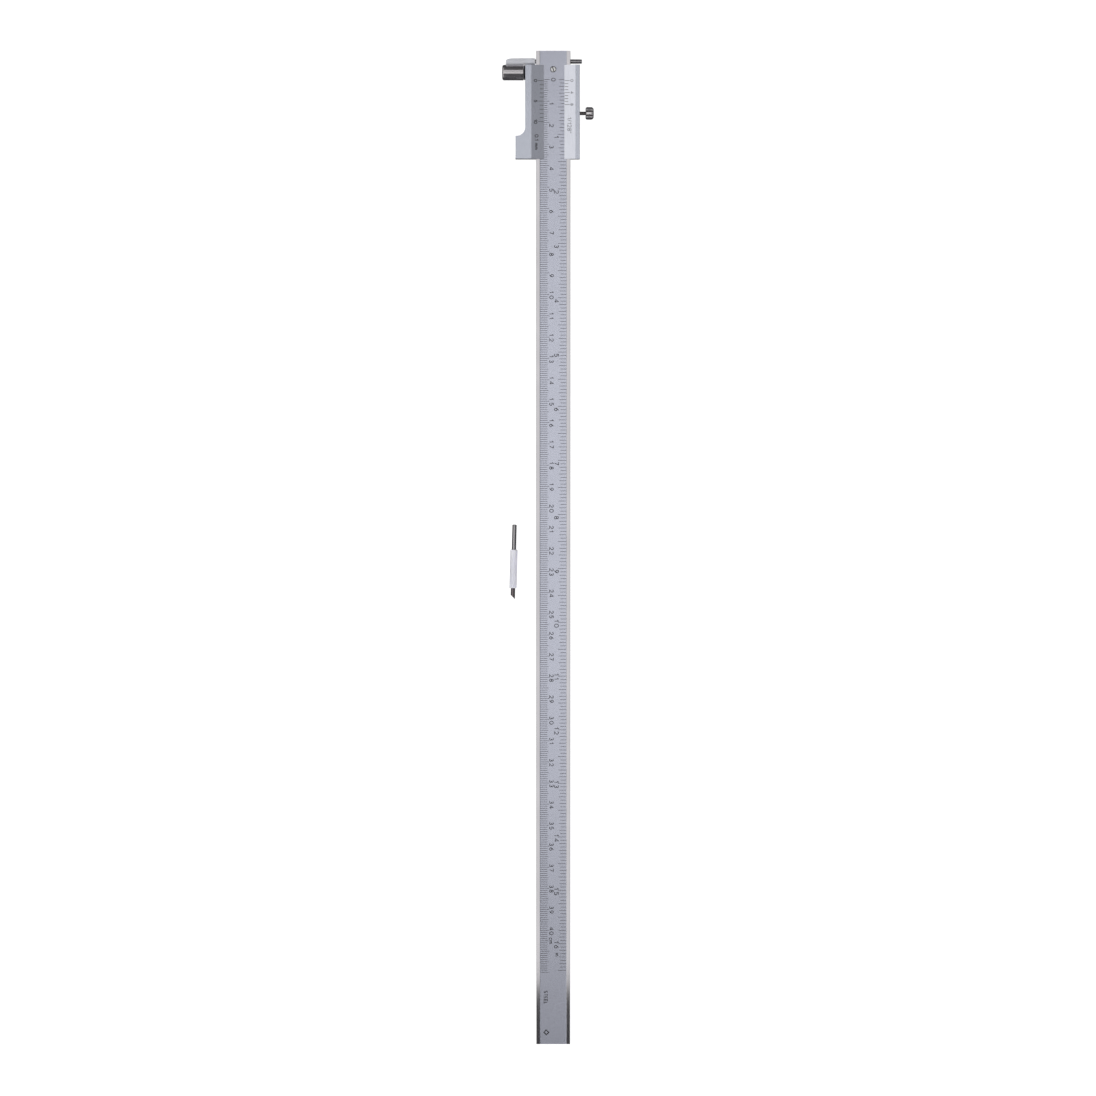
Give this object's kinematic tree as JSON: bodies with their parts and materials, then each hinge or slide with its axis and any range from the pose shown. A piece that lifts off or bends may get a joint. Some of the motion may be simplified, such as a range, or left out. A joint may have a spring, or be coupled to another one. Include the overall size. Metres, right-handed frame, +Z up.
{
  "type": "marking vernier caliper",
  "caption": "Marking vernier caliper: a long scaled beam with a crosswise scriber, a slider with guide roller, thumb hook and lock screw, and a spare scriber beside it.",
  "frame": {"origin": "middle of the footprint, on the surface that the slider's back lies on", "axes": "+Y along the beam towards the scriber, +Z up out of the scale face, +X from the guide roller towards the lock screw"},
  "size_m": [0.0428, 0.4678, 0.008],
  "materials": {
    "beam_steel": "satin chrome scale face between two ground lands",
    "slider_steel": "satin chrome, ground flats",
    "knob_steel": "satin, fluted",
    "screw_steel": "turned",
    "scriber_steel": "ground and bright",
    "carbide": "ground, dull",
    "roller_steel": "hardened and polished",
    "bronze": "machined bronze",
    "brass": "turned brass",
    "black_oxide": "blackened steel",
    "grey_sleeve": "soft pale grey sleeve",
    "white_sleeve": "soft white sleeve",
    "engraving": "black filled engraving"
  },
  "bodies": {
    "slider": {"slider": "slider_steel", "gib_strip": "bronze", "gib_screw_upper": "screw_steel", "gib_screw_lower": "screw_steel", "roller_axle": "screw_steel", "roller_spacer": "black_oxide"},
    "beam": {"beam": "beam_steel"},
    "clamp_screw": {"scriber_clamp_screw": "screw_steel"},
    "scriber": {"scriber_shank": "scriber_steel", "scriber_tip": "carbide"},
    "scriber_sleeve": {"scriber_sleeve": "grey_sleeve"},
    "roller": {"guide_roller": "roller_steel", "roller_bush_inner": "bronze", "roller_bush_outer": "bronze"},
    "lock_pad": {"lock_pad": "brass"},
    "lock_screw": {"lock_stud": "screw_steel", "lock_knob": "knob_steel"},
    "spare_scriber": {"spare_scriber_shank": "scriber_steel", "spare_scriber_tip": "carbide"},
    "spare_sleeve": {"spare_scriber_sleeve": "white_sleeve"}
  },
  "joints": [
    {"name": "beam_slide", "type": "slide", "parent": "slider", "child": "beam", "axis": [0, 1, 0], "range_m": [0, 0.415]},
    {"name": "clamp_screw_turn", "type": "hinge", "parent": "beam", "child": "clamp_screw", "pos_m": [0.00245, 0.22525, 0.0045], "axis": [0, 0, 1], "range_deg": [-15, 180]},
    {"name": "scriber_slide", "type": "slide", "parent": "beam", "child": "scriber", "axis": [-1, 0, 0], "range_m": [-0.0004, 0.01]},
    {"name": "sleeve_slide", "type": "slide", "parent": "scriber", "child": "scriber_sleeve", "axis": [-1, 0, 0], "range_m": [0, 0.02]},
    {"name": "roller_spin", "type": "hinge", "parent": "slider", "child": "roller", "pos_m": [-0.01635, 0.2238, 0.00405], "axis": [1, 0, 0], "continuous": true},
    {"name": "lock_screw_turn", "type": "hinge", "parent": "lock_pad", "child": "lock_screw", "pos_m": [0.0195, 0.20485, 0.00405], "axis": [1, 0, 0], "range_deg": [-90, 540]},
    {"name": "lock_pad_slide", "type": "slide", "parent": "slider", "child": "lock_pad", "axis": [1, 0, 0], "range_m": [-0.0001, 0.0006]},
    {"name": "spare_lift", "type": "slide", "parent": "slider", "child": "spare_scriber", "axis": [0, 0, 1], "range_m": [0, 0.05]},
    {"name": "spare_sleeve_slide", "type": "slide", "parent": "spare_scriber", "child": "spare_sleeve", "axis": [-0.0244, -0.9997, 0], "range_m": [-0.011, 0.025]}
  ],
  "couplings": [
    {"joint": "lock_screw_turn", "follows": "lock_pad_slide", "rad_per_m": 15708}
  ]
}
